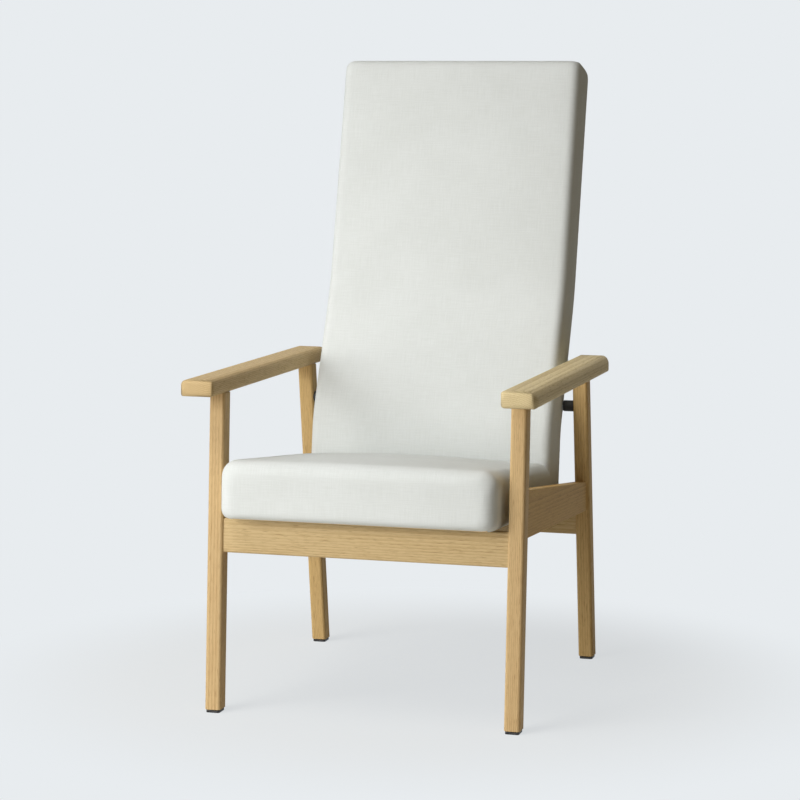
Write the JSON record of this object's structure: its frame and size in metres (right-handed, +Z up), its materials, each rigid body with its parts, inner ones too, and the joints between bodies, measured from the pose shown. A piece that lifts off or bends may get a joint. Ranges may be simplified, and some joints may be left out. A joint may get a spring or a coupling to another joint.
{
  "type": "geriatric armchair",
  "caption": "High-backed armchair with a solid wood frame, a thick lift-out seat cushion and a tall padded back that tilts on side pivots.",
  "frame": {"origin": "on the floor, under the middle of the bounding box", "axes": "+Z up, -Y the way the sitter faces, +X the sitter's left; the chair is mirrored about X = 0"},
  "size_m": [0.669, 0.8308, 1.2101],
  "materials": {
    "oak": "satin lacquer",
    "dowel_wood": "bare",
    "inner_wood": "bare",
    "plywood": "bare",
    "upholstery": "fine flat weave",
    "foam": "open-cell foam",
    "lining": "non-woven",
    "glide_plastic": "moulded",
    "nylon": "moulded",
    "steel": "zinc plated"
  },
  "bodies": {
    "frame": {"front_leg_left": "oak", "front_leg_right": "oak", "rear_leg_left": "oak", "rear_leg_right": "oak", "armrest_left": "oak", "armrest_right": "oak", "side_rail_left": "oak", "side_rail_right": "oak", "front_rail": "oak", "rear_rail": "oak", "seat_bearer_left": "oak", "seat_bearer_right": "oak", "rail_dowels": "dowel_wood", "glide_front_left": "glide_plastic", "glide_front_right": "glide_plastic", "glide_rear_left": "glide_plastic", "glide_rear_right": "glide_plastic", "bolt_plug_left": "oak", "bolt_plug_right": "oak"},
    "seat": {"seat_cover": "upholstery", "seat_foam": "foam", "seat_board": "plywood", "seat_dust_cover": "lining", "seat_pegs": "dowel_wood"},
    "back": {"back_cover": "upholstery", "back_foam": "foam", "back_panel": "plywood", "back_stile_left": "inner_wood", "back_stile_right": "inner_wood", "back_top_rail": "inner_wood", "back_lumbar_rail": "inner_wood", "back_bottom_rail": "inner_wood", "pivot_insert_left": "steel", "pivot_insert_right": "steel", "pivot_bolt_left": "steel", "pivot_bolt_right": "steel", "pivot_bush_left": "nylon", "pivot_bush_right": "nylon", "guide_pin_left": "steel", "guide_pin_right": "steel", "guide_sleeve_left": "nylon", "guide_sleeve_right": "nylon"}
  },
  "joints": [
    {"name": "back_tilt", "type": "hinge", "parent": "frame", "child": "back", "pos_m": [0, 0.19948, 0.52696], "axis": [1, 0, 0], "range_deg": [0, 8]},
    {"name": "seat_lift", "type": "slide", "parent": "frame", "child": "seat", "axis": [0, 0.0593, 0.9982], "range_m": [0, 0.11]}
  ]
}
